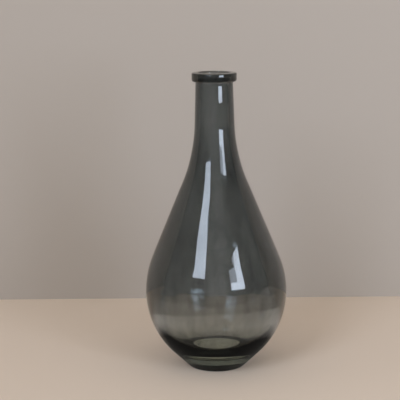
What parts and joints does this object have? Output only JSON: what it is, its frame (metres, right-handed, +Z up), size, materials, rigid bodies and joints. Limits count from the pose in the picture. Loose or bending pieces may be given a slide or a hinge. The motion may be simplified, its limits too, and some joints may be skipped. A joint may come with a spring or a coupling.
{
  "type": "bottle vase",
  "caption": "Smoke-grey glass bottle vase: teardrop bulb, long slim neck with a flat lip collar, and a thick flat-bottomed base; stands free and holds stems in water.",
  "frame": {"origin": "centre of the resting ring under the base, on the surface that the vase stands on", "axes": "+Z up along the vase's axis of revolution; X and Y are alike, because the vase is round"},
  "size_m": [0.1436, 0.1436, 0.3],
  "materials": {
    "smoke_glass": "clear polished glass with a smoke-grey tint",
    "collar_glass": "clear polished glass with a smoke-grey tint",
    "base_glass": "thick clear glass with a green-grey cast"
  },
  "bodies": {
    "root": {"base_pad": "base_glass", "bulb": "smoke_glass", "neck": "smoke_glass", "lip_collar": "collar_glass"}
  },
  "joints": []
}
